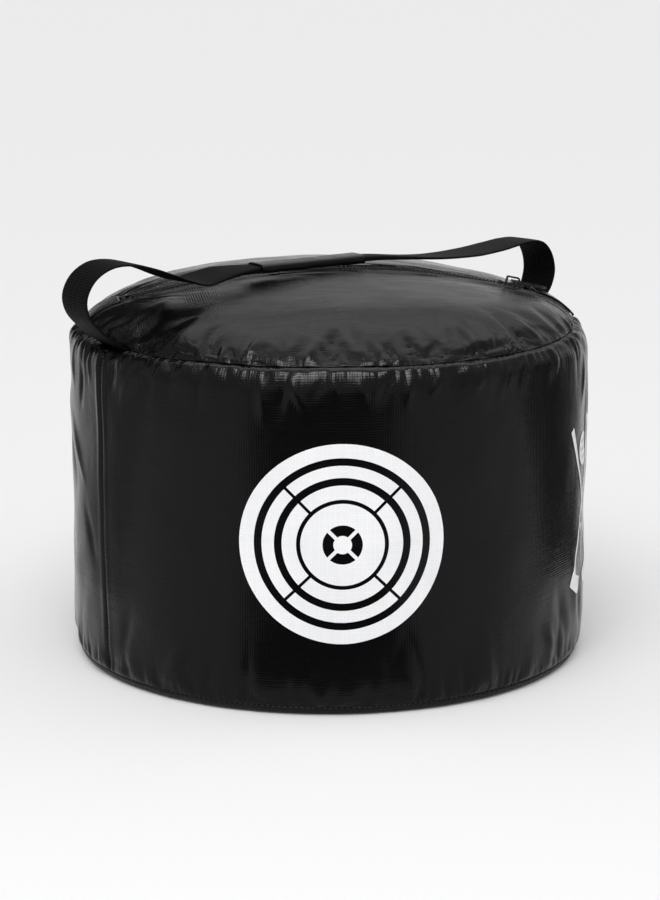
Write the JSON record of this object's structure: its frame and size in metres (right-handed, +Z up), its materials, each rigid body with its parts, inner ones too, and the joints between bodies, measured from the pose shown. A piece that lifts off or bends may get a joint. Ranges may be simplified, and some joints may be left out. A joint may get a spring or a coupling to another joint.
{
  "type": "golf hitting bag",
  "caption": "Round stuffed hitting bag for golf practice: a coated cloth drum with a domed, zipped top, a webbing handle with a sewn grip, a printed target and a printed emblem.",
  "frame": {"origin": "middle of the flat base, on the surface that the bag stands on", "axes": "+Z up; the printed target faces -Y; the zip runs close to X, and the handle's ends are at the two side seams, 30 degrees from X"},
  "size_m": [0.4015, 0.4002, 0.3201],
  "materials": {
    "coated_cloth": "glossy black coating over a coarse woven cloth",
    "base_cloth": "heavier coated cloth, duller than the wall",
    "binding_tape": "plain woven tape",
    "zip_tape": "fine woven tape",
    "zip_teeth": "black moulded plastic",
    "slider_metal": "black enamel on die-cast metal",
    "webbing": "ribbed black webbing",
    "sleeve_cloth": "glossy coated cloth, as the panels",
    "thread": "thick black polyester thread",
    "print_ink": "white ink that shows the weave under it",
    "rags": "mixed old clothes and rags, out of sight"
  },
  "bodies": {
    "bag": {"side_panel_front": "coated_cloth", "side_panel_rear": "coated_cloth", "top_panel_front": "coated_cloth", "top_panel_rear": "coated_cloth", "bottom_panel": "base_cloth", "rim_seam_binding": "binding_tape", "base_seam_binding": "binding_tape", "side_seam_tape_left": "binding_tape", "side_seam_tape_right": "binding_tape", "zip_tape_front": "zip_tape", "zip_tape_rear": "zip_tape", "zip_teeth_front": "zip_teeth", "zip_teeth_rear": "zip_teeth", "zip_top_stops": "zip_teeth", "zip_bottom_stop": "zip_teeth", "zip_end_tab_left": "sleeve_cloth", "zip_end_tab_right": "sleeve_cloth", "handle_loop_left": "webbing", "handle_loop_right": "webbing", "handle_stitching": "thread", "target_print": "print_ink", "club_print": "print_ink", "filling_lower": "rags", "filling_middle": "rags", "filling_upper": "rags"},
    "slider": {"zip_slider": "slider_metal"},
    "pull": {"zip_pull": "slider_metal"},
    "handle": {"handle_middle": "webbing", "handle_grip_sleeve": "sleeve_cloth"}
  },
  "joints": [
    {"name": "zip_slide", "type": "hinge", "parent": "bag", "child": "slider", "pos_m": [0, 0, -0.343], "axis": [0.0872, -0.9962, 0], "range_deg": [0, 7.2]},
    {"name": "zip_pull_swing", "type": "hinge", "parent": "slider", "child": "pull", "pos_m": [0.14429, 0.01262, 0.28424], "axis": [0.0872, -0.9962, 0], "range_deg": [0, 170]},
    {"name": "handle_lift", "type": "slide", "parent": "bag", "child": "handle", "axis": [0, 0, 1], "range_m": [0, 0.095], "deforming": ["handle_loop_left", "handle_loop_right"]}
  ]
}
